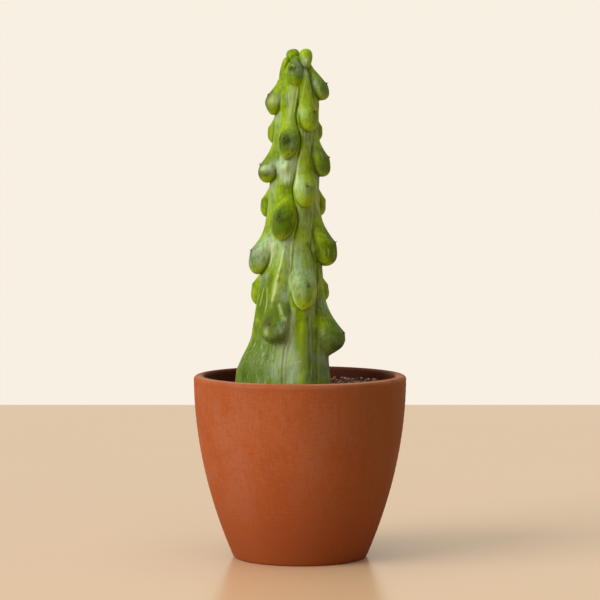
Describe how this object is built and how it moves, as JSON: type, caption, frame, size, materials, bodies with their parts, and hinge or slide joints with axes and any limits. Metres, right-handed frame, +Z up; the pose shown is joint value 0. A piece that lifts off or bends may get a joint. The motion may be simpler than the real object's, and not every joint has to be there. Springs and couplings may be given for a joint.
{
  "type": "potted boobie cactus",
  "caption": "Ribbed column cactus with rounded drooping tubercles, planted in gritty mix in a plain round-lipped terracotta pot.",
  "frame": {"origin": "middle of the pot's foot, on the surface that the pot stands on", "axes": "+Z up the stem, -Y to the front, +X to the right; the stem leans a little towards +X"},
  "size_m": [0.1198, 0.12, 0.2864],
  "materials": {
    "terracotta": "unglazed, satin-matte",
    "crock": "unglazed, broken",
    "potting_mix": "gritty, matte",
    "cactus_skin": "waxy living skin, satin"
  },
  "bodies": {
    "root": {"pot": "terracotta", "drain_crock": "crock", "soil": "potting_mix", "cactus_stem": "cactus_skin"}
  },
  "joints": []
}
